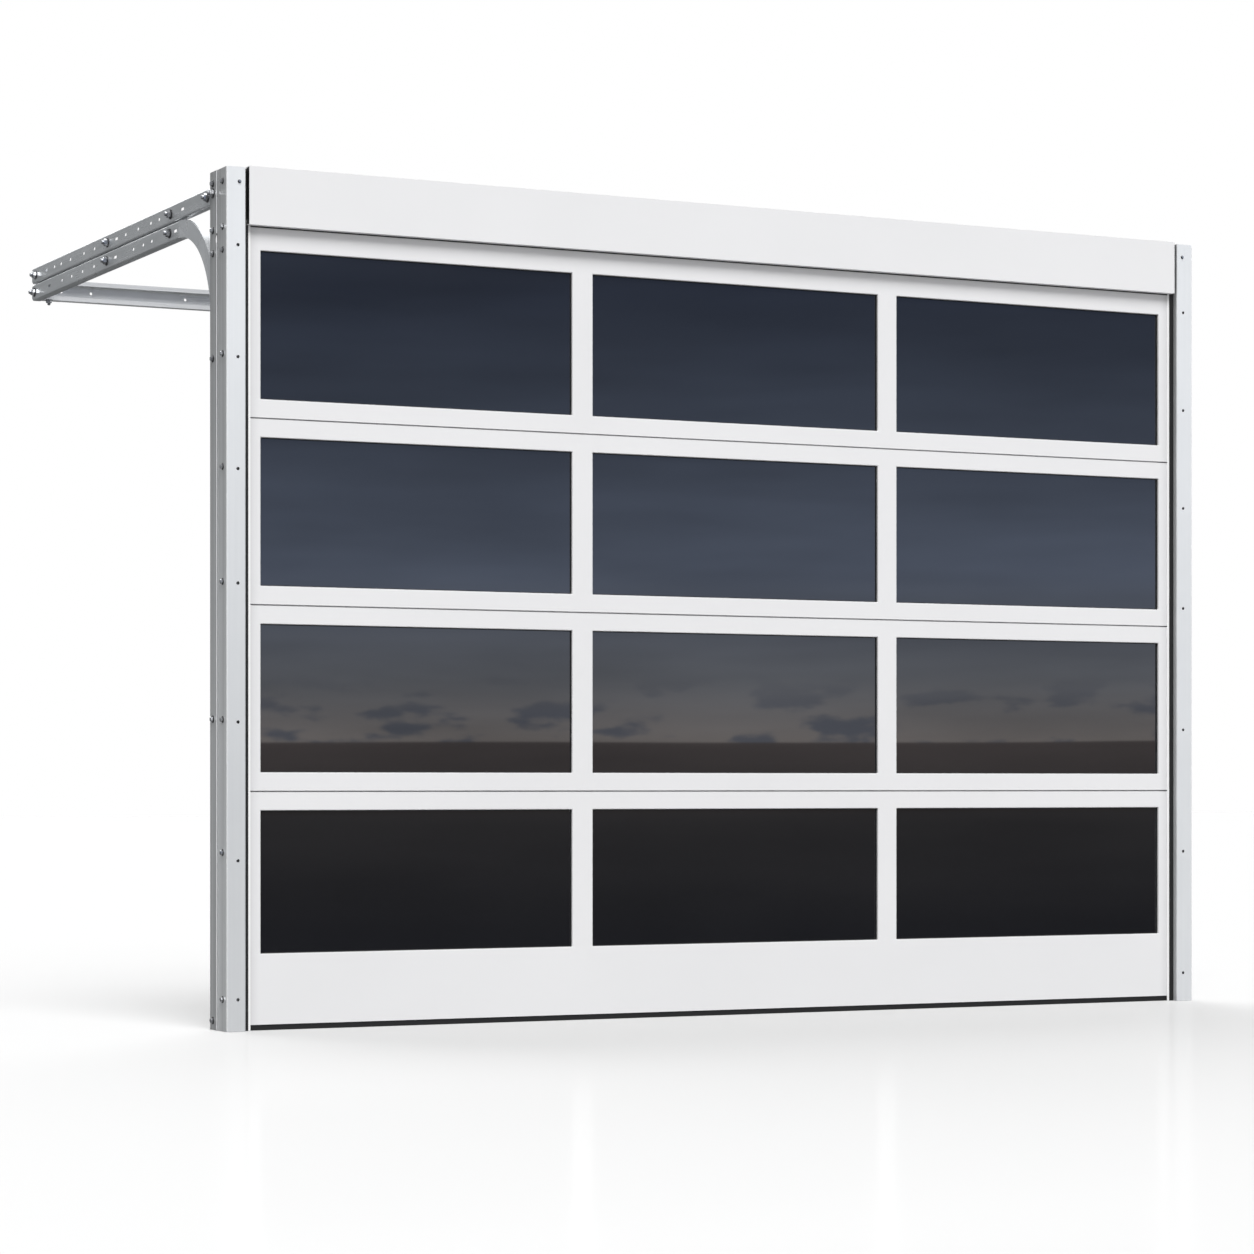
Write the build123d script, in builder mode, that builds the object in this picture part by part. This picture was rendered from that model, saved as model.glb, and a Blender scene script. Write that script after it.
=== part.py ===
"""Sectional overhead garage door: four glazed sections between galvanised jambs, with a fascia
panel on top and two stacked horizontal tracks each side, tied at the rear by a cross rail.

Millimetres. X runs along the door, Y runs back into the garage, Z is up. The origin is on the
front face of the left jamb, at the middle of that face, at floor level.
"""

import os

from build123d import *

# Opening and jambs
clear_width = 3000.0
face_width = 54.0
jamb_sheet = 2.0
jamb_box_depth = 78.0
jamb_bend_r = 4.0
return_depth = 20.0
rear_flange = 35.0
side_plate_sheet = 2.0
side_plate_lap = 6.0
cut_out_d = 26.0
cut_out_below_leaf_top = 45.0

# Fixing holes through the front faces of the jambs
fixing_hole_d = 9.0
fixing_x = 5.0
lower_fixing_z = 85.0
lower_fixing_pitch = 370.0
lower_fixing_count = 4
upper_fixing_z = 1500.0
upper_fixing_pitch = 298.0
upper_fixing_count = 3

# Leaf
leaf_front = 25.0
leaf_thickness = 42.0
leaf_lap = 15.0
leaf_bottom = 15.0
bottom_section = 625.0
section_pitch = 500.0
top_section = 525.0
joint_gap = 4.0
frame_wall = 2.0

# Frame members, as they show from the front
rail_height = 51.0
bottom_rail_height = 190.0
top_rail_height = 76.0
stile_visible = 51.0
mullion_width = 63.0
panes_per_section = 3

# Tongue and groove between two sections
tongue_width = 16.0
tongue_height = 8.0
groove_clearance = 1.0

# Glazing
lip_depth = 10.0
rebate = 10.0
pane_thickness = 16.0
pane_margin = 2.0
bead_depth = 12.0
edge_bevel = 1.5
bevel_angle = 45.0

# End caps of the sections
cap_sheet = 2.0

# Seals
side_seal_width = 16.0
side_seal_depth = 2.5
side_trim_width = 23.0
lintel_seal_lip = 3.0
lintel_seal_height = 13.0
bottom_seal_width = 36.0
bottom_seal_wall = 3.0

# Fascia and the header behind it
fascia_overlap = 12.0
fascia_height = 156.0
fascia_rise = 5.0
fascia_gap = 10.0
fascia_seal_gap = 1.0
fascia_sheet = 2.0
fascia_lip = 15.0
fascia_bottom_depth = 22.0
header_height = 124.0
header_depth = 40.0
header_sheet = 2.0

# Tracks
track_size = 48.0
track_width = 25.0
track_sheet = 2.0
track_lip = 6.0
track_foot = 12.0
track_gap = 4.0
bend_radius = 290.0
track_rise = 25.0
upper_track_start = 82.0
track_end = 1790.0

# Cross rail between the rear ends of the tracks
cross_height = 63.0
cross_depth = 32.0
cross_lip = 13.0
cross_sheet = 2.5
cross_inset = 18.0

# Corner brackets that hold the rear ends, with holes for the ceiling hangers
corner_sheet = 3.0
corner_leg = 60.0
hanger_hole_d = 11.0
hanger_hole_spacing = 50.0

# Rollers
wheel_clearance = 0.3
wheel_width = 12.0
wheel_offset = 3.0
shaft_d = 10.0
bottom_roller_z = 65.0
top_roller_y = 120.0

# Hinges and roller carriers
plate = 2.5
hinge_width = 50.0
hinge_height = 42.0
knuckle_d = 9.0
knuckle_flats = 8
knuckle_gap = 0.5
knuckle_middle = 19.0
knuckle_relief = 5.5
carrier_edge = 8.0
carrier_tube_d = 17.0
carrier_tube_start = -2.0
carrier_tube_end = 40.0
carrier_cheek = 3.0
bottom_plate_height = 90.0
bottom_plate_z = 20.0
top_plate_height = 60.0

# Counterbalance: a tension spring in each jamb, and its cable over a pulley to the bottom bracket
spring_d = 28.0
spring_wall = 4.0
spring_x = -6.0
spring_y = 45.0
spring_bottom = 400.0
spring_length = 1100.0
spring_cap = 6.0
anchor_sheet = 4.0
anchor_height = 60.0
cable_d = 4.0
cable_flats = 6
cable_x = 1.0
cable_behind_leaf = 19.0
cable_eye_wall = 3.0
cable_eye_height = 10.0
pulley_below_leaf_top = 15.0
pulley_flange = 2.0
pulley_rim = 3.5
groove_play = 0.5
axle_d = 8.0
axle_end = 8.0
window_play = 3.0

# Places that follow from the sizes above
inner_edge = face_width / 2
outer_edge = -face_width / 2
mid_x = inner_edge + clear_width / 2
centre_plane = Plane.YZ.offset(mid_x)
leaf_back = leaf_front + leaf_thickness
leaf_start = inner_edge - leaf_lap
frame_start = leaf_start + cap_sheet
frame_length = 2 * (mid_x - frame_start)
joints = [leaf_bottom + bottom_section + n * section_pitch for n in range(3)]
leaf_top = joints[-1] + top_section
fascia_bottom = leaf_top - fascia_overlap
fascia_top = fascia_bottom + fascia_height
jamb_height = fascia_top - fascia_rise
lower_track_z = leaf_top + track_rise
half_gap = joint_gap / 2
track_front = jamb_box_depth
track_mid = track_front + track_size / 2
jamb_depth = track_front + track_size
bend_y = track_mid + bend_radius
bend_z = lower_track_z - bend_radius
upper_track_z = lower_track_z + track_size + track_gap
web_inner = outer_edge + track_sheet
box_inner = outer_edge + jamb_sheet
cable_y = leaf_back + cable_behind_leaf
pulley_y = (spring_y + cable_y) / 2
pulley_z = leaf_top - pulley_below_leaf_top
pulley_bend = (cable_y - spring_y) / 2
pulley_groove_r = pulley_bend - cable_d / 2
pulley_r = pulley_groove_r + pulley_rim
groove_half = cable_d / 2 + groove_play
pulley_half = groove_half + pulley_flange
rebate_front = leaf_front + lip_depth
groove_width = tongue_width + 2 * groove_clearance
leaf_mid_y = leaf_front + leaf_thickness / 2
pane_left_edge = inner_edge + stile_visible
pane_run = 2 * (mid_x - pane_left_edge)
pane_width = (pane_run - (panes_per_section - 1) * mullion_width) / panes_per_section
pane_pitch = pane_width + mullion_width
mullion_centres = [
    pane_left_edge + (n + 1) * pane_pitch - mullion_width / 2
    for n in range(panes_per_section - 1)
]
pane_centres = [pane_left_edge + n * pane_pitch + pane_width / 2 for n in range(panes_per_section)]

# Each section: lower and upper edge, then lower and upper edge of its panes
sections = [(leaf_bottom, joints[0], leaf_bottom + bottom_rail_height, joints[0] - rail_height)]
sections += [
    (low, low + section_pitch, low + rail_height, low + section_pitch - rail_height)
    for low in joints[:-1]
]
sections += [(joints[-1], leaf_top, joints[-1] + rail_height, leaf_top - top_rail_height)]


def save(builder, label):
    """Label a finished piece and write it out."""
    builder.part.label = label
    export_step(builder.part, f"parts/{label}.step")


def opposite(source, label):
    """The same piece on the other side of the door."""
    with BuildPart() as twin:
        mirror(source.part, about=centre_plane)
    save(twin, label)
    return twin


def bar(x0, x1, y0, y1, z0, z1, mode=Mode.ADD):
    """A straight block between two corners, for the part that is being built."""
    with Locations((x0, y0, z0)):
        Box(x1 - x0, y1 - y0, z1 - z0, align=(Align.MIN, Align.MIN, Align.MIN), mode=mode)


os.makedirs("parts", exist_ok=True)

# Left jamb: front face, outer side, short inner return and rear flange in one folded sheet
with BuildPart() as jamb_left:
    with BuildSketch(Plane.XY):
        with BuildLine():
            Polyline(
                (outer_edge, 0),
                (inner_edge, 0),
                (inner_edge, return_depth),
                (inner_edge - jamb_sheet, return_depth),
                (inner_edge - jamb_sheet, jamb_sheet),
                (outer_edge + jamb_sheet, jamb_sheet),
                (outer_edge + jamb_sheet, jamb_box_depth - jamb_sheet),
                (outer_edge + rear_flange, jamb_box_depth - jamb_sheet),
                (outer_edge + rear_flange, jamb_box_depth),
                (outer_edge, jamb_box_depth),
                close=True,
            )
        make_face()
        front_corners = vertices().group_by(Axis.Y)[0]
        fillet(front_corners, jamb_bend_r)
    extrude(amount=jamb_height)
    lower_holes = [lower_fixing_z + n * lower_fixing_pitch for n in range(lower_fixing_count)]
    upper_holes = [upper_fixing_z + n * upper_fixing_pitch for n in range(upper_fixing_count)]
    with BuildSketch(Plane.XZ):
        with Locations(*[(fixing_x, z) for z in lower_holes + upper_holes]):
            Circle(fixing_hole_d / 2)
    extrude(amount=-jamb_sheet, mode=Mode.SUBTRACT)
    window_x = cable_x - pulley_half - window_play
    window_half = pulley_r + window_play
    bar(
        window_x, outer_edge + rear_flange,
        jamb_box_depth - jamb_sheet, jamb_box_depth,
        pulley_z - window_half, pulley_z + window_half,
        mode=Mode.SUBTRACT,
    )
save(jamb_left, "jamb_left")
jamb_right = opposite(jamb_left, "jamb_right")

# Side plate: laps the jamb's side and carries the track behind it; half-round cut-out in its edge
with BuildPart() as side_plate_left:
    bar(
        outer_edge - side_plate_sheet, outer_edge,
        track_front - side_plate_lap, jamb_depth,
        0, jamb_height,
    )
    with BuildSketch(Plane.YZ.offset(outer_edge - side_plate_sheet)):
        with Locations((track_front - side_plate_lap, leaf_top - cut_out_below_leaf_top)):
            Circle(cut_out_d / 2)
    extrude(amount=side_plate_sheet, mode=Mode.SUBTRACT)
save(side_plate_left, "side_plate_left")
side_plate_right = opposite(side_plate_left, "side_plate_right")


# Lipped channel, open towards the leaf, about its own middle; the second number runs across it
half_track = track_size / 2
track_far = outer_edge + track_width
track_outline = [
    (outer_edge, -half_track),
    (track_far, -half_track),
    (track_far, -half_track + track_lip),
    (track_far - track_sheet, -half_track + track_lip),
    (track_far - track_sheet, -half_track + track_sheet),
    (outer_edge + track_sheet, -half_track + track_sheet),
    (outer_edge + track_sheet, half_track - track_sheet),
    (track_far - track_sheet, half_track - track_sheet),
    (track_far - track_sheet, half_track - track_lip),
    (track_far, half_track - track_lip),
    (track_far, half_track),
    (outer_edge, half_track),
]


# Vertical track, bend and lower horizontal track
with BuildPart() as track_vertical_left:
    with BuildSketch(Plane((0, track_mid, track_foot), x_dir=(1, 0, 0), z_dir=(0, 0, 1))):
        with BuildLine():
            Polyline(*track_outline, close=True)
        make_face()
    extrude(amount=bend_z - track_foot)
save(track_vertical_left, "track_vertical_left")
track_vertical_right = opposite(track_vertical_left, "track_vertical_right")

with BuildPart() as track_bend_left:
    with BuildSketch(Plane((0, track_mid, bend_z), x_dir=(1, 0, 0), z_dir=(0, 0, 1))):
        with BuildLine():
            Polyline(*track_outline, close=True)
        make_face()
    revolve(axis=Axis((0, bend_y, bend_z), (-1, 0, 0)), revolution_arc=90)
save(track_bend_left, "track_bend_left")
track_bend_right = opposite(track_bend_left, "track_bend_right")

with BuildPart() as track_lower_left:
    with BuildSketch(Plane((0, bend_y, lower_track_z), x_dir=(1, 0, 0), z_dir=(0, -1, 0))):
        with BuildLine():
            Polyline(*track_outline, close=True)
        make_face()
    extrude(amount=bend_y - track_end)
save(track_lower_left, "track_lower_left")
track_lower_right = opposite(track_lower_left, "track_lower_right")

with BuildPart() as track_upper_left:
    with BuildSketch(
        Plane((0, upper_track_start, upper_track_z), x_dir=(1, 0, 0), z_dir=(0, -1, 0))
    ):
        with BuildLine():
            Polyline(*track_outline, close=True)
        make_face()
    extrude(amount=upper_track_start - track_end)
save(track_upper_left, "track_upper_left")
track_upper_right = opposite(track_upper_left, "track_upper_right")

# Cross rail: lipped channel, open to the front, level with the lower edge of the lower tracks
cross_start = outer_edge + track_width
cross_z = lower_track_z - track_size / 2
cross_back = track_end - cross_inset
with BuildPart() as cross_rail:
    with BuildSketch(Plane.YZ.offset(cross_start)):
        with BuildLine():
            Polyline(
                (cross_back, cross_z),
                (cross_back - cross_depth, cross_z),
                (cross_back - cross_depth, cross_z + cross_lip),
                (cross_back - cross_depth + cross_sheet, cross_z + cross_lip),
                (cross_back - cross_depth + cross_sheet, cross_z + cross_sheet),
                (cross_back - cross_sheet, cross_z + cross_sheet),
                (cross_back - cross_sheet, cross_z + cross_height - cross_sheet),
                (cross_back - cross_depth + cross_sheet, cross_z + cross_height - cross_sheet),
                (cross_back - cross_depth + cross_sheet, cross_z + cross_height - cross_lip),
                (cross_back - cross_depth, cross_z + cross_height - cross_lip),
                (cross_back - cross_depth, cross_z + cross_height),
                (cross_back, cross_z + cross_height),
                close=True,
            )
        make_face()
    extrude(amount=2 * (mid_x - cross_start))
save(cross_rail, "cross_rail")

# Corner bracket: stands on the cross rail and lies against both tracks' lips
corner_x = outer_edge + track_width
with BuildPart() as corner_brackets:
    bar(
        corner_x, corner_x + corner_leg,
        cross_back, cross_back + corner_sheet,
        cross_z, upper_track_z + half_track,
    )
    bar(
        corner_x, corner_x + corner_sheet,
        cross_back - cross_depth, cross_back + corner_sheet,
        cross_z + cross_height, upper_track_z + half_track,
    )
    with BuildSketch(Plane.XZ.offset(-(cross_back + corner_sheet))):
        with Locations((corner_x + corner_leg / 2, cross_z + cross_height)):
            with GridLocations(corner_leg, hanger_hole_spacing, 1, 2):
                Circle(hanger_hole_d / 2)
    extrude(amount=corner_sheet, mode=Mode.SUBTRACT)
    mirror(about=centre_plane)
save(corner_brackets, "corner_brackets")

# Fascia: shallow pan with folded edges, a small gap from the jambs
fascia_start = inner_edge + fascia_gap
fascia_length = 2 * (mid_x - fascia_start)
with BuildPart() as fascia_panel:
    with BuildSketch(Plane.YZ.offset(fascia_start)):
        with BuildLine():
            Polyline(
                (0, fascia_bottom),
                (fascia_bottom_depth, fascia_bottom),
                (fascia_bottom_depth, fascia_bottom + fascia_lip),
                (fascia_bottom_depth - fascia_sheet, fascia_bottom + fascia_lip),
                (fascia_bottom_depth - fascia_sheet, fascia_bottom + fascia_sheet),
                (fascia_sheet, fascia_bottom + fascia_sheet),
                (fascia_sheet, fascia_top - fascia_sheet),
                (leaf_front - fascia_sheet, fascia_top - fascia_sheet),
                (leaf_front - fascia_sheet, fascia_top - fascia_lip),
                (leaf_front, fascia_top - fascia_lip),
                (leaf_front, fascia_top),
                (0, fascia_top),
                close=True,
            )
        make_face()
    extrude(amount=fascia_length)
save(fascia_panel, "fascia_panel")

# Header: channel behind the fascia, held between the outer sides of the jambs
header_start = outer_edge + jamb_sheet
with BuildPart() as header:
    with BuildSketch(Plane.YZ.offset(header_start)):
        with Locations((leaf_front, jamb_height)):
            Rectangle(header_depth, header_height, align=(Align.MIN, Align.MAX))
        with Locations((leaf_front + header_sheet, jamb_height - header_sheet)):
            Rectangle(
                header_depth - header_sheet,
                header_height - 2 * header_sheet,
                align=(Align.MIN, Align.MAX),
                mode=Mode.SUBTRACT,
            )
    extrude(amount=2 * (mid_x - header_start))
save(header, "header")

# Side seals behind the jamb returns, and the white trims behind them that meet the leaf
trim_front = return_depth + side_seal_depth
with BuildPart() as side_seals:
    seal_x = inner_edge - jamb_sheet
    bar(seal_x, seal_x + side_seal_width, return_depth, trim_front, 0, fascia_bottom)
    bar(
        seal_x, fascia_start - fascia_seal_gap,
        return_depth, trim_front,
        fascia_bottom, jamb_height,
    )
    mirror(about=centre_plane)
save(side_seals, "side_seals")

with BuildPart() as side_trims:
    trim_end = seal_x + side_trim_width
    bar(seal_x, trim_end, trim_front, leaf_front, 0, fascia_bottom)
    mirror(about=centre_plane)
save(side_trims, "side_trims")

# Lintel seal and bottom seal
with BuildPart() as seal_lintel:
    bar(
        trim_end, 2 * mid_x - trim_end,
        fascia_bottom_depth, leaf_front,
        fascia_bottom - lintel_seal_lip, fascia_bottom + lintel_seal_height,
    )
save(seal_lintel, "seal_lintel")

with BuildPart() as seal_bottom:
    with BuildSketch(Plane.YZ.offset(frame_start)):
        with Locations((leaf_mid_y, 0)):
            Rectangle(bottom_seal_width, leaf_bottom, align=(Align.CENTER, Align.MIN))
        with Locations((leaf_mid_y, bottom_seal_wall)):
            Rectangle(
                bottom_seal_width - 2 * bottom_seal_wall,
                leaf_bottom - 2 * bottom_seal_wall,
                align=(Align.CENTER, Align.MIN),
                mode=Mode.SUBTRACT,
            )
    extrude(amount=frame_length)
save(seal_bottom, "seal_bottom")


def bevel_openings(pane_low, pane_high):
    """Bevel the front edge of each pane's opening in the member that is being built."""
    with BuildSketch(Plane.XZ.offset(-leaf_front)) as openings:
        with Locations(*[(x, (pane_low + pane_high) / 2) for x in pane_centres]):
            Rectangle(pane_width + 2 * edge_bevel, pane_high - pane_low + 2 * edge_bevel)
    extrude(openings.sketch, amount=-edge_bevel, taper=bevel_angle, mode=Mode.SUBTRACT)


def hollow(y0, y1, z0, z1):
    """Take the inside out of a rail's profile, leaving the frame's wall."""
    with Locations((y0 + frame_wall, z0 + frame_wall)):
        Rectangle(
            y1 - y0 - 2 * frame_wall,
            z1 - z0 - 2 * frame_wall,
            align=(Align.MIN, Align.MIN),
            mode=Mode.SUBTRACT,
        )


def block(y0, y1, z0, z1, mode=Mode.ADD):
    """A rectangle between two corners, for the sketch that is being made."""
    with Locations((y0, z0)):
        Rectangle(y1 - y0, z1 - z0, align=(Align.MIN, Align.MIN), mode=mode)


groove_top = half_gap + tongue_height

# Frame members and glazing of the four sections, from the lowest up
for number, (low, high, pane_low, pane_high) in enumerate(sections, start=1):
    is_lowest = low == leaf_bottom
    is_highest = high == leaf_top
    rail_low = low if is_lowest else low + half_gap
    rail_high = high if is_highest else high - half_gap

    with BuildPart() as bottom_rail:
        with BuildSketch(Plane.YZ.offset(frame_start)):
            block(leaf_front, rebate_front, rail_low, pane_low)
            block(rebate_front, leaf_back, rail_low, pane_low - rebate)
            if is_lowest:
                hollow(leaf_front, leaf_back, rail_low, pane_low - rebate)
            else:
                block(
                    leaf_mid_y - groove_width / 2, leaf_mid_y + groove_width / 2,
                    rail_low, low + groove_top,
                    mode=Mode.SUBTRACT,
                )
                hollow(leaf_front, leaf_back, low + groove_top, pane_low - rebate)
        extrude(amount=frame_length)
        bevel_openings(pane_low, pane_high)
    save(bottom_rail, f"section_{number}_bottom_rail")

    with BuildPart() as top_rail:
        with BuildSketch(Plane.YZ.offset(frame_start)):
            block(leaf_front, rebate_front, pane_high, rail_high)
            block(rebate_front, leaf_back, pane_high + rebate, rail_high)
            if not is_highest:
                block(
                    leaf_mid_y - tongue_width / 2, leaf_mid_y + tongue_width / 2,
                    rail_high, rail_high + tongue_height,
                )
            hollow(leaf_front, leaf_back, pane_high + rebate, rail_high)
        extrude(amount=frame_length)
        bevel_openings(pane_low, pane_high)
    save(top_rail, f"section_{number}_top_rail")

    with BuildPart() as uprights:
        upright_low = pane_low - rebate
        upright_high = pane_high + rebate
        with BuildSketch(Plane.XY.offset(upright_low)):
            block(frame_start, pane_left_edge, leaf_front, rebate_front)
            block(frame_start, pane_left_edge - rebate, rebate_front, leaf_back)
            hollow(frame_start, pane_left_edge - rebate, leaf_front, leaf_back)
            mirror(about=Plane.YZ.offset(mid_x))
            for x in mullion_centres:
                half = mullion_width / 2
                block(x - half, x + half, leaf_front, rebate_front)
                block(x - half + rebate, x + half - rebate, rebate_front, leaf_back)
                hollow(x - half + rebate, x + half - rebate, leaf_front, leaf_back)
        extrude(amount=upright_high - upright_low)
        right_end = 2 * mid_x - frame_start
        bar(
            frame_start, right_end, leaf_front, rebate_front,
            upright_low, pane_low, mode=Mode.SUBTRACT,
        )
        bar(
            frame_start, right_end, leaf_front, rebate_front,
            pane_high, upright_high, mode=Mode.SUBTRACT,
        )
        bevel_openings(pane_low, pane_high)
    save(uprights, f"section_{number}_uprights")

    with BuildPart() as panes:
        cover = rebate - pane_margin
        with BuildSketch(Plane.XZ.offset(-rebate_front)):
            with Locations(*[(x, (pane_low + pane_high) / 2) for x in pane_centres]):
                Rectangle(pane_width + 2 * cover, pane_high - pane_low + 2 * cover)
        extrude(amount=-pane_thickness)
    save(panes, f"section_{number}_panes")

# Glazing beads: one frame behind each pane
with BuildPart() as glazing_beads:
    with BuildSketch(Plane.XZ.offset(-(rebate_front + pane_thickness))):
        for low, high, pane_low, pane_high in sections:
            with Locations(*[(x, (pane_low + pane_high) / 2) for x in pane_centres]):
                Rectangle(pane_width + 2 * rebate, pane_high - pane_low + 2 * rebate)
                Rectangle(pane_width, pane_high - pane_low, mode=Mode.SUBTRACT)
    extrude(amount=-bead_depth)
save(glazing_beads, "glazing_beads")

# End caps: one plate over the end of each section
with BuildPart() as end_caps:
    for low, high, pane_low, pane_high in sections:
        cap_low = low if low == leaf_bottom else low + half_gap
        cap_high = high if high == leaf_top else high - half_gap
        bar(leaf_start, frame_start, leaf_front, leaf_back, cap_low, cap_high)
    mirror(about=centre_plane)
save(end_caps, "end_caps")


knuckle_y = leaf_back + knuckle_gap + knuckle_d / 2
carrier_x = leaf_start + carrier_edge
hinge_starts = [x - hinge_width / 2 for x in mullion_centres]
hinge_places = [carrier_x] + hinge_starts + [2 * mid_x - carrier_x - hinge_width]
outer_knuckle = (hinge_width - knuckle_middle) / 2 - knuckle_gap


def knuckle(x0, x1, z, towards_leaf):
    """Rolled end of a hinge leaf along X, behind the joint at height z, with its link to the leaf."""
    with BuildSketch(Plane.YZ.offset(x0)) as rolled:
        with Locations((knuckle_y, z)):
            RegularPolygon(knuckle_d / 2, knuckle_flats)
        link_low, link_high = sorted((z, z + towards_leaf * knuckle_relief))
        block(leaf_back + knuckle_gap, leaf_back + plate, link_low, link_high)
    extrude(rolled.sketch, amount=x1 - x0)


# Hinge leaves below and above each joint
with BuildPart() as hinge_lower_leaves:
    for z in joints:
        for x in hinge_places:
            x_far = x + hinge_width
            bar(x, x_far, leaf_back, leaf_back + plate, z - hinge_height, z - knuckle_relief)
            knuckle(x, x + outer_knuckle, z, -1)
            knuckle(x_far - outer_knuckle, x_far, z, -1)
save(hinge_lower_leaves, "hinge_lower_leaves")

with BuildPart() as hinge_upper_leaves:
    for z in joints:
        for x in hinge_places:
            x0 = x + (hinge_width - knuckle_middle) / 2
            x_far = x + hinge_width
            bar(x, x_far, leaf_back, leaf_back + plate, z + knuckle_relief, z + hinge_height)
            knuckle(x0, x0 + knuckle_middle, z, 1)
save(hinge_upper_leaves, "hinge_upper_leaves")


def tube(y, z):
    """Round boss along X that holds a roller's shaft, joined to what is already there."""
    with BuildSketch(Plane.YZ.offset(carrier_tube_start)) as wall:
        with Locations((y, z)):
            Circle(carrier_tube_d / 2)
    extrude(wall.sketch, amount=carrier_tube_end - carrier_tube_start)


def cheek(points):
    """Upright plate across X that reaches back from the leaf to the tube."""
    with BuildSketch(Plane.YZ.offset(carrier_x)) as outline:
        Polygon(*points, align=None)
    extrude(outline.sketch, amount=carrier_cheek)


tube_r = carrier_tube_d / 2
plate_back = leaf_back + plate

# Roller carriers at the joints, behind the lower hinge leaves at both ends
with BuildPart() as roller_carriers:
    for z in joints:
        bar(
            carrier_x, carrier_x + hinge_width, plate_back, plate_back + plate,
            z - hinge_height, z - 2 * knuckle_relief,
        )
        cheek(
            [
                (plate_back + plate, z - hinge_height),
                (plate_back + plate, z - 2 * knuckle_relief),
                (track_mid - tube_r, z),
                (track_mid, z + tube_r),
                (track_mid + tube_r, z),
            ]
        )
        tube(track_mid, z)
    mirror(about=centre_plane)
save(roller_carriers, "roller_carriers")

# Bottom bracket: plate on the bottom rail with the lowest roller's tube
with BuildPart() as bottom_brackets:
    bar(
        carrier_x, carrier_x + hinge_width, leaf_back, plate_back,
        bottom_plate_z, bottom_plate_z + bottom_plate_height,
    )
    cheek(
        [
            (plate_back, bottom_plate_z),
            (plate_back, bottom_plate_z + bottom_plate_height),
            (track_mid, bottom_roller_z + tube_r),
            (track_mid + tube_r, bottom_roller_z),
            (track_mid, bottom_roller_z - tube_r),
        ]
    )
    tube(track_mid, bottom_roller_z)
    mirror(about=centre_plane)
save(bottom_brackets, "bottom_brackets")

# Top bracket: arm from the top rail up to the roller in the upper track
with BuildPart() as top_brackets:
    bar(
        carrier_x, carrier_x + hinge_width, leaf_back, plate_back,
        leaf_top - top_plate_height, leaf_top,
    )
    cheek(
        [
            (plate_back, leaf_top - top_plate_height),
            (plate_back, leaf_top),
            (top_roller_y - tube_r, upper_track_z),
            (top_roller_y, upper_track_z + tube_r),
            (top_roller_y + tube_r, upper_track_z),
        ]
    )
    tube(top_roller_y, upper_track_z)
    mirror(about=centre_plane)
save(top_brackets, "top_brackets")

# Rollers: wheels inside the tracks, with the shafts that reach them from the bosses
roller_centres = [(track_mid, z) for z in joints]
roller_centres += [(track_mid, bottom_roller_z), (top_roller_y, upper_track_z)]
wheel_r = track_size / 2 - track_sheet - wheel_clearance
wheel_x = web_inner + wheel_offset
wheel_end = wheel_x + wheel_width

with BuildPart() as roller_wheels:
    with BuildSketch(Plane.YZ.offset(wheel_x)):
        with Locations(*roller_centres):
            Circle(wheel_r)
    extrude(amount=wheel_width)
    mirror(about=centre_plane)
save(roller_wheels, "roller_wheels")

with BuildPart() as roller_shafts:
    with BuildSketch(Plane.YZ.offset(wheel_end)):
        with Locations(*roller_centres):
            Circle(shaft_d / 2)
    extrude(amount=carrier_tube_start - wheel_end)
    mirror(about=centre_plane)
save(roller_shafts, "roller_shafts")

# Tension springs, drawn as tubes with a cap on top, and the anchors they stand on
spring_top = spring_bottom + spring_length
with BuildPart() as tension_springs:
    with BuildSketch(Plane.XY.offset(spring_bottom)):
        with Locations((spring_x, spring_y)):
            Circle(spring_d / 2)
            Circle(spring_d / 2 - spring_wall, mode=Mode.SUBTRACT)
    extrude(amount=spring_length)
    with BuildSketch(Plane.XY.offset(spring_top)):
        with Locations((spring_x, spring_y)):
            Circle(spring_d / 2)
    extrude(amount=spring_cap)
    mirror(about=centre_plane)
save(tension_springs, "tension_springs")

with BuildPart() as spring_anchors:
    anchor_start = spring_y - spring_d / 2
    anchor_end = spring_y + spring_d / 2
    bar(
        box_inner, spring_x + spring_d / 2, anchor_start, anchor_end,
        spring_bottom - anchor_sheet, spring_bottom,
    )
    bar(
        box_inner, box_inner + anchor_sheet, anchor_start, anchor_end,
        spring_bottom - anchor_height, spring_bottom,
    )
    mirror(about=centre_plane)
save(spring_anchors, "spring_anchors")

# Pulleys near the top of the jambs, each with the axle that holds it on the jamb's outer side
with BuildPart() as cable_pulleys:
    with BuildSketch(Plane.YZ.offset(cable_x - pulley_half)):
        with Locations((pulley_y, pulley_z)):
            Circle(pulley_r)
    extrude(amount=2 * pulley_half)
    with BuildSketch(Plane.YZ.offset(cable_x - groove_half)):
        with Locations((pulley_y, pulley_z)):
            Circle(pulley_r)
            Circle(pulley_groove_r, mode=Mode.SUBTRACT)
    extrude(amount=2 * groove_half, mode=Mode.SUBTRACT)
    with BuildSketch(Plane.YZ.offset(box_inner)):
        with Locations((pulley_y, pulley_z)):
            Circle(axle_d / 2)
    extrude(amount=axle_end - box_inner)
    mirror(about=centre_plane)
save(cable_pulleys, "cable_pulleys")

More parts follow.
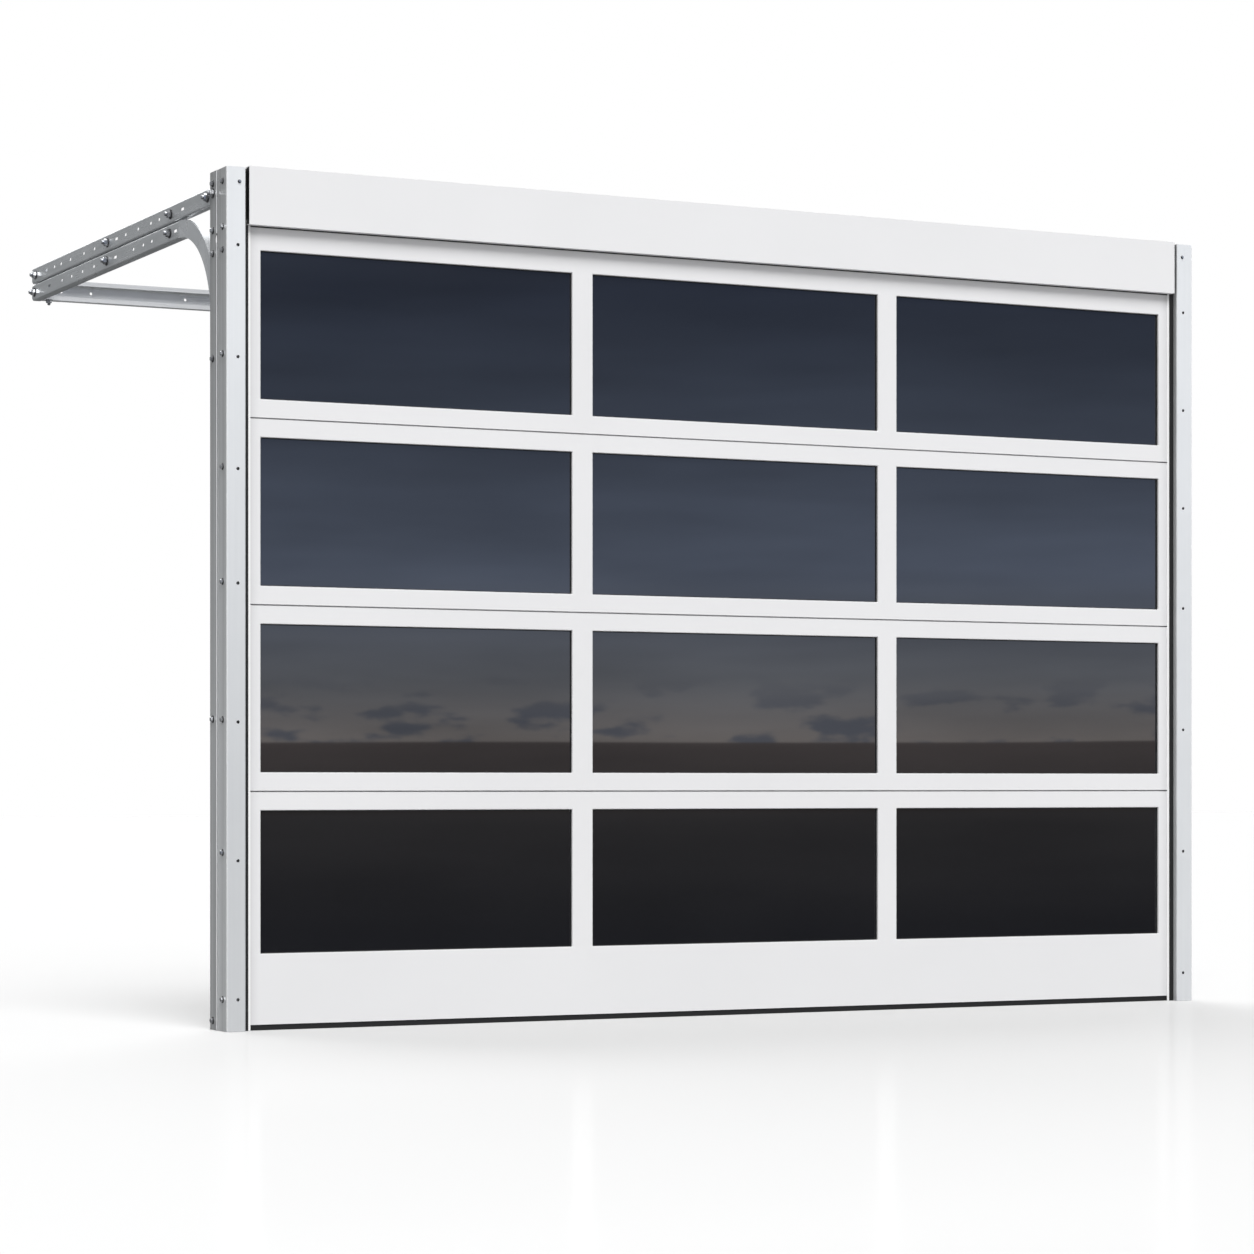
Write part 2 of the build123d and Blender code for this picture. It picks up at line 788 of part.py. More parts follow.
# Lift cables: from the spring's cap over the pulley down to an eye round the lowest roller's boss
with BuildPart() as lift_cables:
    with BuildSketch(Plane.XY.offset(spring_top + spring_cap)):
        with Locations((cable_x, spring_y)):
            RegularPolygon(cable_d / 2, cable_flats)
    extrude(amount=pulley_z - spring_top - spring_cap)
    with BuildSketch(Plane.XY.offset(pulley_z)):
        with Locations((cable_x, spring_y)):
            RegularPolygon(cable_d / 2, cable_flats)
    revolve(axis=Axis((0, pulley_y, pulley_z), (-1, 0, 0)), revolution_arc=180)
    with BuildSketch(Plane.XY.offset(bottom_roller_z)):
        with Locations((cable_x, cable_y)):
            RegularPolygon(cable_d / 2, cable_flats)
    extrude(amount=pulley_z - bottom_roller_z)
    with BuildSketch(Plane.YZ.offset(cable_x - cable_d / 2)):
        with Locations((track_mid, bottom_roller_z)):
            Circle(tube_r + cable_eye_wall)
        block(
            cable_y - cable_d / 2, track_mid - tube_r,
            bottom_roller_z - cable_eye_height / 2, bottom_roller_z + cable_eye_height / 2,
        )
        with Locations((track_mid, bottom_roller_z)):
            Circle(tube_r, mode=Mode.SUBTRACT)
    extrude(amount=cable_d)
    mirror(about=centre_plane)
save(lift_cables, "lift_cables")
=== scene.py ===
"""Looks of the sectional garage door: finishes, perforated tracks, fasteners, gaskets and studio.

Metres, in the door's own frame: X along the door, Y back into the garage, Z up.
"""

import math

import bmesh
import bpy
from mathutils import Matrix, Vector


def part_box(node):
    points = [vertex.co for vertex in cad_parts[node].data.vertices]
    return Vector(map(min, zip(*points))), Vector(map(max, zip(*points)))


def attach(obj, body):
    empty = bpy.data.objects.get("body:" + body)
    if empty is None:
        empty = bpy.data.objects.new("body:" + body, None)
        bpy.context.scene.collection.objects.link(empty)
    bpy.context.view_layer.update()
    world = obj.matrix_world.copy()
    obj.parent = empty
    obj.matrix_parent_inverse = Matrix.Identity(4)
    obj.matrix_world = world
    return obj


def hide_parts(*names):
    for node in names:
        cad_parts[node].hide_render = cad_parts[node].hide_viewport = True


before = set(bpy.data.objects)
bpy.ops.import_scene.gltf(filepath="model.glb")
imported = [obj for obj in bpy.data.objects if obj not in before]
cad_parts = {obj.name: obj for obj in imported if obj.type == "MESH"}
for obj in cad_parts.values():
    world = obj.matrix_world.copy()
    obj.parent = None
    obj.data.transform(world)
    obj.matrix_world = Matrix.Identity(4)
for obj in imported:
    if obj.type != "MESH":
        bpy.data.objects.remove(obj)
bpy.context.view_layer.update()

# Directions
OUTWARDS = Vector((-1, 0, 0))
FORWARDS = Vector((0, -1, 0))
BACKWARDS = Vector((0, 1, 0))
UP = Vector((0, 0, 1))

# Places of the frame's parts
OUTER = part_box("jamb_left")[0].x
JAMB_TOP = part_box("jamb_left")[1].z
MID_X = (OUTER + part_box("jamb_right")[1].x) / 2
PLATE_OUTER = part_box("side_plate_left")[0].x
PLATE_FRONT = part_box("side_plate_left")[0].y
PLATE_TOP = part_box("side_plate_left")[1].z

# Places of the leaf's parts
SECTIONS = (1, 2, 3, 4)
HALF_GAP = 0.002
REBATE = 0.008
MULLION = 0.063
LEAF_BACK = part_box("section_1_bottom_rail")[1].y
LEAF_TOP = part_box("section_4_top_rail")[1].z
GLASS_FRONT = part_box("section_1_panes")[0].y
JOINTS = [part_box(f"section_{n}_bottom_rail")[0].z - HALF_GAP for n in SECTIONS[1:]]
PANE_ROWS = [
    (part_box(f"section_{n}_panes")[0].z + REBATE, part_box(f"section_{n}_panes")[1].z - REBATE)
    for n in SECTIONS
]
PANES_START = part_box("section_1_panes")[0].x + REBATE
PANES_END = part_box("section_1_panes")[1].x - REBATE
PANE_WIDTH = (PANES_END - PANES_START - 2 * MULLION) / 3
PANE_STARTS = [PANES_START + n * (PANE_WIDTH + MULLION) for n in range(3)]
PANE_COLUMNS = [(start, start + PANE_WIDTH) for start in PANE_STARTS]

# Places of the tracks
TRACK_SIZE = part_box("track_upper_left")[1].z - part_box("track_upper_left")[0].z
TRACK_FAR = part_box("track_upper_left")[1].x
UPPER_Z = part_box("track_upper_left")[0].z + TRACK_SIZE / 2
LOWER_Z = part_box("track_lower_left")[0].z + TRACK_SIZE / 2

# Shader nodes


def add_node(tree, kind, inputs, output=0, **settings):
    """One output of a new shader node. Each input is a fixed value or another node's output."""
    node = tree.nodes.new(f"ShaderNode{kind}")
    for name, value in settings.items():
        setattr(node, name, value)
    for socket, value in inputs.items():
        if isinstance(value, bpy.types.NodeSocket):
            tree.links.new(value, node.inputs[socket])
        else:
            node.inputs[socket].default_value = value
    return node.outputs[output]


def object_place(tree):
    """Coordinates of the door's frame."""
    return add_node(tree, "TexCoord", {}, "Object")


def coordinate(tree, axis):
    """One coordinate of the door's frame."""
    return add_node(tree, "SeparateXYZ", {"Vector": object_place(tree)}, axis)


def stretched(tree, place, scale):
    """The coordinates with each axis scaled on its own."""
    return add_node(tree, "Mapping", {"Vector": place, "Scale": scale})


def noise(tree, place, scale, detail=3.0):
    """Noise texture of that scale per metre, centred on 0.5."""
    return add_node(tree, "TexNoise", {"Vector": place, "Scale": scale, "Detail": detail}, "Fac")


def spread(tree, source, low, high):
    """The source, from 0 to 1, carried over to low to high."""
    return add_node(tree, "MapRange", {"Value": source, "To Min": low, "To Max": high})


def ease(tree, source, start, end, first=0.0, last=1.0):
    """Smooth passage from the first value to the last between two places."""
    limits = {"From Min": start, "From Max": end, "To Min": first, "To Max": last}
    return add_node(
        tree, "MapRange", {"Value": source, **limits}, interpolation_type="SMOOTHSTEP"
    )


def arithmetic(tree, operation, *values):
    """Result of a sum on numbers."""
    return add_node(tree, "Math", dict(enumerate(values)), operation=operation)


def scaled(tree, colour, share):
    """The colour times a share."""
    return add_node(tree, "VectorMath", {0: colour, "Scale": share}, operation="SCALE")


def ramp(tree, source, stops):
    """A colour that follows the source through the stops, each a position and a colour."""
    node = tree.nodes.new("ShaderNodeValToRGB")
    elements = node.color_ramp.elements
    for n in (0, -1):
        elements[n].position = stops[n][0]
        elements[n].color = (*stops[n][1], 1)
    for position, colour in stops[1:-1]:
        elements.new(position).color = (*colour, 1)
    tree.links.new(source, node.inputs["Fac"])
    return node.outputs["Color"]


def between(tree, source, dark, light):
    """A colour that runs from dark to light with the source."""
    return ramp(tree, source, [(0.0, dark), (1.0, light)])


# Materials


def start_material(name, colour, roughness, metallic):
    """A principled material with its fixed values on the shader's own sockets."""
    material = bpy.data.materials.new(name)
    material.use_nodes = True
    tree = material.node_tree
    shader = tree.nodes["Principled BSDF"]
    shader.inputs["Base Color"].default_value = (*colour, 1)
    shader.inputs["Roughness"].default_value = roughness
    shader.inputs["Metallic"].default_value = metallic
    return material, tree, shader


def bump(tree, shader, source, height):
    """Surface relief of that height in metres."""
    relief = {"Height": source, "Strength": 1.0, "Distance": height}
    tree.links.new(add_node(tree, "Bump", relief), shader.inputs["Normal"])


def painted(name, dark, light, roughness):
    """Powder coat: very even colour, fine orange peel, slight change of gloss."""
    gloss_play = 0.05
    peel_height = 0.00004
    material, tree, shader = start_material(name, light, roughness, 0.0)
    place = object_place(tree)
    broad = noise(tree, place, 1.7, 2.0)
    gloss = spread(tree, noise(tree, place, 14.0), roughness - gloss_play, roughness + gloss_play)
    tree.links.new(between(tree, broad, dark, light), shader.inputs["Base Color"])
    tree.links.new(gloss, shader.inputs["Roughness"])
    bump(tree, shader, noise(tree, place, 900.0, 1.0), peel_height)
    return material


def galvanised(name, dark, light, roughness, metallic, along):
    """Zinc coat on rolled sheet: broad clouds, streaks along the rolled length, uneven gloss.
    Bent sheet has no such length, and gets clouds alone."""
    streak_squeeze = 0.012
    streak_share = 0.45
    gloss_play = 0.08
    streak_height = 0.00002
    material, tree, shader = start_material(name, light, roughness, metallic)
    place = object_place(tree)
    across = 1.0 if along else 0.1
    scale = [streak_squeeze if axis == along else across for axis in "xyz"]
    streaks = noise(tree, stretched(tree, place, scale), 90.0, 1.0)
    clouds = noise(tree, place, 4.5, 2.0)
    mixed = add_node(tree, "Mix", {"Factor": streak_share, "A": clouds, "B": streaks})
    gloss = spread(tree, mixed, roughness + gloss_play, roughness - gloss_play)
    tree.links.new(between(tree, mixed, dark, light), shader.inputs["Base Color"])
    tree.links.new(gloss, shader.inputs["Roughness"])
    bump(tree, shader, streaks, streak_height)
    return material


def grained(name, dark, light, roughness, scale, height, metallic=0.0):
    """Even material with a fine grain, for rubber, plastic and zinc-plated small parts."""
    material, tree, shader = start_material(name, light, roughness, metallic)
    grain = noise(tree, object_place(tree), scale)
    tree.links.new(between(tree, grain, dark, light), shader.inputs["Base Color"])
    bump(tree, shader, grain, height)
    return material


def tinted_glass(name):
    """Dark tinted pane, nearly black inside, with the mirror of four glass faces."""
    mirror_ior = 2.0
    roughness = 0.012
    waviness = 0.0002
    material, tree, shader = start_material(name, (0.006, 0.0065, 0.008), roughness, 0.0)
    shader.inputs["IOR"].default_value = mirror_ior
    place = object_place(tree)
    broad = noise(tree, place, 2.2, 1.0)
    tint = between(tree, broad, (0.005, 0.0055, 0.007), (0.009, 0.0095, 0.011))
    tree.links.new(tint, shader.inputs["Base Color"])
    bump(tree, shader, noise(tree, place, 1.3, 0.0), waviness)
    return material


def scale_colour(material, share):
    """Multiply the material's colour by a share between 0 and 1."""
    tree = material.node_tree
    colour = tree.nodes["Principled BSDF"].inputs["Base Color"]
    tree.links.new(scaled(tree, colour.links[0].from_socket, share), colour)


def darker_foot_and_side_shade(material, foot, side, depth):
    """Front face darker towards the floor; the side face behind it painted darker as shade,
    lighter towards the floor as painted bounce from the floor, and streaked: shares of the colour."""
    dull_z = 0.4
    bright_z = 2.2
    tree = material.node_tree
    height = coordinate(tree, "Z")
    front = ease(tree, height, dull_z, bright_z, foot, 1.0)
    streaks = noise(tree, stretched(tree, object_place(tree), (1.0, 1.0, 0.01)), 60.0, 1.0)
    # Painted shade on the side face, lighter near the floor as painted floor bounce.
    side_shade_share = ease(tree, height, dull_z, bright_z, side * 1.24, side * 0.86)
    streaked_side_shade = arithmetic(tree, "MULTIPLY", spread(tree, streaks, 0.64, 1.36), side_shade_share)
    # Faces behind the front, which take the painted side shade.
    side_face_mask = ease(tree, coordinate(tree, "Y"), depth, depth * 2)
    scale_colour(material, add_node(tree, "Mix", {"Factor": side_face_mask, "A": front, "B": streaked_side_shade}))


def dulled_plate(material, low):
    """Side plates a little duller than the jambs that they lap."""
    tree = material.node_tree
    start = PLATE_FRONT - 0.004
    scale_colour(material, ease(tree, coordinate(tree, "Y"), start, PLATE_FRONT, 1.0, low))


def jamb_finish(name, foot):
    """Zinc-coated jamb with its side plate, its front that share as bright at the floor, its side
    painted darker as shade.
    """
    material = galvanised(name, (0.80, 0.82, 0.84), (0.96, 0.98, 0.99), 0.34, 0.2, "z")
    # 0.60: the outer side painted darker as shade.
    darker_foot_and_side_shade(material, foot, 0.60, 0.004)
    dulled_plate(material, 0.78)
    return material


def leaf_coat_with_end_shade():
    """Powder coat with painted shade on the end stiles: darker towards the leaf's ends, in the
    recess beside the jambs.
    """
    # Share at the leaf's very ends: painted shade in the recess beside the jambs.
    end_shade_share = 0.76
    reach = 0.050
    material = painted("leaf_powder_coat_end_shade", (0.80, 0.80, 0.81), (0.86, 0.86, 0.87), 0.38)
    tree = material.node_tree
    start = MID_X - PANES_START
    offset = arithmetic(tree, "SUBTRACT", coordinate(tree, "X"), MID_X)
    distance = arithmetic(tree, "ABSOLUTE", offset)
    scale_colour(material, ease(tree, distance, start, start + reach, 1.0, end_shade_share))
    return material


# Leaf white with painted shade at its ends.
LEAF_WHITE_END_SHADED = leaf_coat_with_end_shade()
WHITE = painted("white_powder_coat", (0.80, 0.80, 0.81), (0.86, 0.86, 0.87), 0.38)
CAP_WHITE = painted("white_cap_paint", (0.93, 0.93, 0.93), (0.97, 0.97, 0.97), 0.38)
BEAD = painted("white_plastic", (0.78, 0.78, 0.78), (0.84, 0.84, 0.84), 0.5)
JAMB_STEEL = {
    "left": jamb_finish("left_jamb_zinc_and_side_shade", 0.78),
    "right": jamb_finish("right_jamb_zinc_and_side_shade", 0.91),
}
TRACK_STEEL = galvanised("track_zinc_coat", (0.36, 0.38, 0.39), (0.72, 0.74, 0.76), 0.28, 0.45, "y")
POST_STEEL = galvanised("post_zinc_coat", (0.42, 0.44, 0.46), (0.66, 0.68, 0.70), 0.28, 0.45, "z")
BEND_STEEL = galvanised("bend_zinc_coat", (0.44, 0.46, 0.48), (0.80, 0.82, 0.84), 0.28, 0.45, "")
PLATE_STEEL = galvanised("plate_zinc_coat", (0.50, 0.52, 0.54), (0.74, 0.76, 0.78), 0.34, 0.25, "")
# Near-white zinc for the rolled edges and corners: a painted highlight along them.
EDGE_HIGHLIGHT_STEEL = galvanised("edge_zinc_painted_highlight", (0.86, 0.87, 0.88), (0.98, 0.98, 0.98), 0.25, 0.2, "z")
RAIL_STEEL = galvanised("rail_zinc_coat", (0.52, 0.53, 0.54), (0.89, 0.90, 0.91), 0.26, 0.2, "x")
FITTING = grained(
    "zinc_plate", (0.46, 0.47, 0.49), (0.64, 0.65, 0.67), 0.14, 160.0, 0.00002, 1.0
)
# Near-black for washers and screw flanges: a dark zinc, and painted shade round the nuts and heads.
DARK_FITTING_AND_SHADE = grained(
    "dark_zinc_and_painted_shade", (0.02, 0.02, 0.022), (0.04, 0.04, 0.044), 0.3, 160.0, 0.00002, 0.4
)
SPRING_STEEL = grained(
    "spring_steel", (0.10, 0.10, 0.11), (0.20, 0.20, 0.21), 0.35, 200.0, 0.00002, 0.8
)
RUBBER = grained(
    "black_rubber", (0.004, 0.004, 0.004), (0.010, 0.010, 0.010), 0.5, 420.0, 0.00008
)
NYLON = grained("nylon", (0.70, 0.70, 0.67), (0.82, 0.82, 0.79), 0.45, 300.0, 0.00004)
GLASS = tinted_glass("tinted_glass")


def finish_of(name):
    """The material of a CAD node."""
    if name.endswith("panes"):
        return GLASS
    if "seal" in name:
        return RUBBER
    if name in ("end_caps", "side_trims"):
        return CAP_WHITE
    if name.startswith("section"):
        return LEAF_WHITE_END_SHADED
    if name == "fascia_panel":
        return WHITE
    if name == "glazing_beads":
        return BEAD
    if name == "roller_wheels":
        return NYLON
    if name.startswith(("jamb", "side_plate")):
        return JAMB_STEEL[name.rsplit("_", 1)[1]]
    if name.startswith("track_vertical"):
        return POST_STEEL
    if name.startswith("track_bend"):
        return BEND_STEEL
    if name.startswith("track"):
        return TRACK_STEEL
    if name in ("header", "cross_rail"):
        return RAIL_STEEL
    if "bracket" in name or "leaves" in name or name == "spring_anchors":
        return PLATE_STEEL
    return FITTING


for name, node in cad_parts.items():
    node.data.materials.clear()
    node.data.materials.append(finish_of(name))

# Mesh helpers


def add_piece(name, shape, material, replaced=(), smooth=False):
    """A finished piece that rides on the door, made of a bmesh with its faces turned outwards."""
    bmesh.ops.recalc_face_normals(shape, faces=shape.faces)
    mesh = bpy.data.meshes.new(name)
    shape.to_mesh(mesh)
    shape.free()
    mesh.materials.append(material)
    for face in mesh.polygons:
        face.use_smooth = smooth
    piece = bpy.data.objects.new(name, mesh)
    bpy.context.scene.collection.objects.link(piece)
    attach(piece, "root")
    if replaced:
        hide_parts(*replaced)


def mirror(verts):
    """Move the points to the other side of the door's middle."""
    for vert in verts:
        vert.co.x = 2 * MID_X - vert.co.x


def moved_verts(made):
    """The points among what a bmesh operator made."""
    return [part for part in made["geom"] if isinstance(part, bmesh.types.BMVert)]


def add_pair(name, shape, material, replaced=(), smooth=False):
    """A finished piece that has its mirror image on the other side of the door."""
    geometry = shape.verts[:] + shape.edges[:] + shape.faces[:]
    mirror(moved_verts(bmesh.ops.duplicate(shape, geom=geometry)))
    add_piece(name, shape, material, replaced, smooth)


def add_prism(shape, outline, direction):
    """Extrude a closed outline of points along a direction."""
    face = shape.faces.new([shape.verts.new(point) for point in outline])
    made = bmesh.ops.extrude_face_region(shape, geom=[face])
    bmesh.ops.translate(shape, verts=moved_verts(made), vec=direction)


def add_box(shape, low, high, edge=0.0):
    """A block between two corners, with its edges broken."""
    low = Vector(low)
    high = Vector(high)
    made = bmesh.ops.create_cube(shape, size=1.0)
    for vert in made["verts"]:
        vert.co = (low + high) / 2 + vert.co * (high - low)
    if edge:
        edges = list({e for vert in made["verts"] for e in vert.link_edges})
        bmesh.ops.bevel(shape, geom=edges, offset=edge, segments=2, profile=0.5, affect="EDGES")


def ring(centre, u, v, radius, sides, turn=0.0):
    """Points of a regular ring about a centre, in the plane of u and v."""
    angles = [turn + 2 * math.pi * n / sides for n in range(sides)]
    return [centre + u * radius * math.cos(a) + v * radius * math.sin(a) for a in angles]


def add_skin(shape, rings):
    """Closed body through rings of points, capped at both ends."""
    loops = [[shape.verts.new(point) for point in points] for points in rings]
    for lower, upper in zip(loops, loops[1:]):
        for n in range(len(lower)):
            m = (n + 1) % len(lower)
            shape.faces.new((lower[n], lower[m], upper[m], upper[n]))
    shape.faces.new(reversed(loops[0]))
    shape.faces.new(loops[-1])


def add_turned(shape, place, axis, profile, sides, turn=0.0):
    """A turned or many-sided body: profile lists (height along the axis, radius)."""
    u = axis.orthogonal().normalized()
    v = axis.cross(u)
    place = Vector(place)
    add_skin(
        shape,
        [ring(place + axis * height, u, v, radius, sides, turn) for height, radius in profile],
    )


def rod(length, radius, edge, end_radius):
    """Profile of a rod with its two ends broken."""
    return [(0, end_radius), (edge, radius), (length - edge, radius), (length, end_radius)]


def perforated(plane, outline, holes, thickness, steps=5):
    """Flat sheet with holes through it. The plane turns sheet coordinates into the door's frame,
    and a hole is (centre u, centre v, radius, half length of its straight part along u)."""
    curve = bpy.data.curves.new("sheet", "CURVE")
    curve.dimensions = "2D"
    curve.fill_mode = "BOTH"
    curve.extrude = thickness / 2
    quarter = math.pi / 2
    angles = [-quarter + math.pi * n / steps for n in range(steps + 1)]
    loops = [outline]
    for u, v, radius, half in holes:
        loops.append(
            [
                (u + side * (half + radius * math.cos(a)), v + side * radius * math.sin(a))
                for side in (1, -1)
                for a in angles
            ]
        )
    for points in loops:
        spline = curve.splines.new("POLY")
        spline.points.add(len(points) - 1)
        for target, (u, v) in zip(spline.points, points):
            target.co = (u, v, 0, 1)
        spline.use_cyclic_u = True
    holder = bpy.data.objects.new("sheet", curve)
    bpy.context.scene.collection.objects.link(holder)
    bpy.context.view_layer.update()
    graph = bpy.context.evaluated_depsgraph_get()
    mesh = bpy.data.meshes.new_from_object(holder.evaluated_get(graph))
    mesh.transform(plane)
    shape = bmesh.new()
    shape.from_mesh(mesh)
    bpy.data.objects.remove(holder)
    bpy.data.curves.remove(curve)
    bpy.data.meshes.remove(mesh)
    return shape


def upright_plane(along, origin):
    """Matrix that puts sheet coordinates u along that direction, and v upwards, at a place."""
    turn = Matrix((along, UP, along.cross(UP))).transposed().to_4x4()
    return Matrix.Translation(origin) @ turn


# Perforated tracks

TRACK_SHEET = 0.002
TRACK_LIP = 0.006
TRACK_BEND = 0.004
TRACK_END = 0.006
EDGE_BREAK = 0.001
UPPER_HOLES = [1.555, 1.487, 1.392, 1.258, 1.154, 0.860, 0.746, 0.633, 0.560]
UPPER_SLOTS = [1.640, 0.945, 0.360]
LOWER_HOLES = [1.478, 1.380, 1.272, 1.160, 0.789, 0.701, 0.625]
LOWER_SLOTS = [1.607, 0.956, 0.420]
HOLE_RADIUS = 0.0042
HOLE_HALF = 0.005
SLOT_HALF = 0.010
HOLE_MARGIN = 0.01
SLOT_MARGIN = 0.02
QUARTER_TURN = (0, math.pi / 6, math.pi / 3, math.pi / 2)


def flange_outline(sign):
    """Outline (x, z) of one flange with its lip and rolled corner; z runs from the web's middle."""
    half = TRACK_SIZE / 2
    inner = OUTER + TRACK_SHEET
    inside = TRACK_BEND - TRACK_SHEET
    middle = half - TRACK_BEND
    corner = [
        (OUTER + TRACK_BEND - TRACK_BEND * math.cos(a), middle + TRACK_BEND * math.sin(a))
        for a in QUARTER_TURN
    ]
    inner_corner = [
        (inner + inside - inside * math.cos(a), middle + inside * math.sin(a))
        for a in reversed(QUARTER_TURN)
    ]
    lip = [
        (TRACK_FAR - EDGE_BREAK, half),
        (TRACK_FAR, half - EDGE_BREAK),
        (TRACK_FAR, half - TRACK_LIP),
        (TRACK_FAR - TRACK_SHEET, half - TRACK_LIP),
        (TRACK_FAR - TRACK_SHEET, half - TRACK_SHEET),
    ]
    return [(x, sign * z) for x, z in corner + lip + inner_corner]


def make_track(node, holes, slots):
    """Lipped track with a perforated web, on the left side, standing for one CAD node."""
    low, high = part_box(node)
    middle = (low.z + high.z) / 2
    reach = TRACK_SIZE / 2 - TRACK_BEND
    places = [
        (y, 0.0, HOLE_RADIUS, half)
        for centres, half, margin in (
            (holes, HOLE_HALF, HOLE_MARGIN),
            (slots, SLOT_HALF, SLOT_MARGIN),
        )
        for y in centres
        if low.y + margin < y < high.y - margin
    ]
    rear = [
        (high.y - TRACK_END * (1 - math.sin(a)), reach - TRACK_END * (1 - math.cos(a)))
        for a in reversed(QUARTER_TURN)
    ]
    outline = [(low.y, -reach)] + [(y, -z) for y, z in reversed(rear)] + rear + [(low.y, reach)]
    plane = upright_plane(BACKWARDS, Vector((OUTER + TRACK_SHEET / 2, 0, middle)))
    shape = perforated(plane, outline, places, TRACK_SHEET)
    for sign in (1, -1):
        flange = [Vector((x, low.y, middle + z)) for x, z in flange_outline(sign)]
        add_prism(shape, flange, BACKWARDS * (high.y - low.y - TRACK_END))
    return shape


for level, holes, slots in (
    ("upper", UPPER_HOLES, UPPER_SLOTS),
    ("lower", LOWER_HOLES, LOWER_SLOTS),
):
    for side in ("left", "right"):
        shape = make_track(f"track_{level}_left", holes, slots)
        if side == "right":
            mirror(shape.verts)
        replaced = f"track_{level}_{side}"
        add_piece(f"{level}_track_{side}_web", shape, TRACK_STEEL, (replaced,))

# Cross rail

CROSS_SHEET = 0.0025
CROSS_LIP = 0.013
CROSS_HOLE_RADIUS = 0.0045
CROSS_HOLES = (1.502, 1.484, 1.466, 1.370, 1.060, 0.530)


def make_cross_rail():
    """Lipped channel with a punched back, open towards the door."""
    low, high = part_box("cross_rail")
    middle = (low.x + high.x) / 2
    reach = (high.z - low.z) / 2 - CROSS_SHEET
    holes = [
        (middle + side * distance, 0.0, CROSS_HOLE_RADIUS, 0.0)
        for side in (-1, 1)
        for distance in CROSS_HOLES
    ]
    outline = [(low.x, -reach), (high.x, -reach), (high.x, reach), (low.x, reach)]
    origin = Vector((0, high.y - CROSS_SHEET / 2, (low.z + high.z) / 2))
    plane = upright_plane(-OUTWARDS, origin)
    shape = perforated(plane, outline, holes, CROSS_SHEET)
    for sign, edge in ((1, low.z), (-1, high.z)):
        sheet = edge + sign * CROSS_SHEET
        lip = edge + sign * CROSS_LIP
        for start, end, back in ((edge, sheet, high.y), (sheet, lip, low.y + CROSS_SHEET)):
            add_box(shape, (low.x, low.y, min(start, end)), (high.x, back, max(start, end)))
    return shape


add_piece("cross_rail_punched", make_cross_rail(), RAIL_STEEL, ("cross_rail",))

# Fasteners

UPPER_NUTS = [0.459, 1.027, 1.751]
LOWER_NUTS = [0.467, 1.036, 1.763]
TRACK_BOLT = 0.012
RAIL_BOLT = 0.010
THREAD_PITCH = 0.00125
JAMB_NUT_Y = 0.151
PLATE_NUT_Y = 0.103
RAIL_BOLT_X = 0.012
SIDE_SCREWS = [2.269, 2.147, 2.086, 1.808, 1.507, 1.200, 0.832, 0.477, 0.085]
SIDE_SCREW_Y = 0.032
PLATE_SCREWS = [2.272, 2.146, 2.084, 1.802, 0.834, 0.025]
PLATE_SCREW_Y = 0.104
FRONT_SCREW = (OUTER + 0.036, 0.0, 2.265)


def add_hex(shape, place, axis, across, height, turn):
    """Hexagon head or nut with a chamfered top."""
    radius = across / math.sqrt(3)
    profile = [(0, radius), (height * 0.82, radius), (height, radius * 0.88)]
    add_turned(shape, place, axis, profile, 6, turn)


def add_nut_and_bolt(nuts, washers, place, axis, size, turn, proud):
    """Washer, hexagon nut and the threaded end of its bolt, for a thread of that size."""
    place = Vector(place)
    washer_edge = 0.0003
    washer = size * 0.2
    washer_radius = size * 1.15
    nut = size * 0.8
    core = size * 0.44
    profile = [
        (0, washer_radius),
        (washer - washer_edge, washer_radius),
        (washer, washer_radius - washer_edge),
    ]
    add_turned(washers, place, axis, profile, 24)
    add_hex(nuts, place + axis * washer, axis, size * 1.6, nut, turn)
    start = washer + nut
    turns = max(2, round(proud / THREAD_PITCH))
    profile = [(start - 0.001, core)]
    for n in range(turns):
        z = start + proud * n / turns
        profile += [(z, core), (z + proud / turns / 2, size / 2)]
    profile += [(start + proud, core), (start + proud + 0.0006, size * 0.36)]
    add_turned(nuts, place, axis, profile, 12)


def add_flange_screw(heads, flanges, place, axis, across, turn):
    """Hexagon-head screw with a flange under its head."""
    place = Vector(place)
    profile = [(0, across * 0.86), (0.0008, across * 0.84), (0.0018, across * 0.6)]
    add_turned(flanges, place, axis, profile, 20)
    add_hex(heads, place + axis * 0.0015, axis, across, across * 0.5, turn)


def make_track_fasteners():
    """Nuts on the tracks and jambs, and a bolt up into the cross rail."""
    nuts = bmesh.new()
    washers = bmesh.new()
    for z, stations in ((UPPER_Z, UPPER_NUTS), (LOWER_Z, LOWER_NUTS)):
        for number, y in enumerate(stations):
            place = (OUTER, y, z)
            add_nut_and_bolt(nuts, washers, place, OUTWARDS, TRACK_BOLT, 0.3 * number, 0.006)
    rail_place = (RAIL_BOLT_X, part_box("cross_rail")[0].y, LOWER_Z - TRACK_SIZE / 2)
    for place, axis, size, turn, proud in (
        ((OUTER, JAMB_NUT_Y, UPPER_Z), OUTWARDS, TRACK_BOLT, 0.2, 0.006),
        ((PLATE_OUTER, PLATE_NUT_Y, UPPER_Z + 0.004), OUTWARDS, TRACK_BOLT, 0.5, 0.004),
        (rail_place, -UP, RAIL_BOLT, 0.1, 0.006),
    ):
        add_nut_and_bolt(nuts, washers, place, axis, size, turn, proud)
    add_pair("track_nuts", nuts, FITTING)
    # Washers near-black: dark zinc with painted shade round the nuts.
    add_pair("track_washers", washers, DARK_FITTING_AND_SHADE)


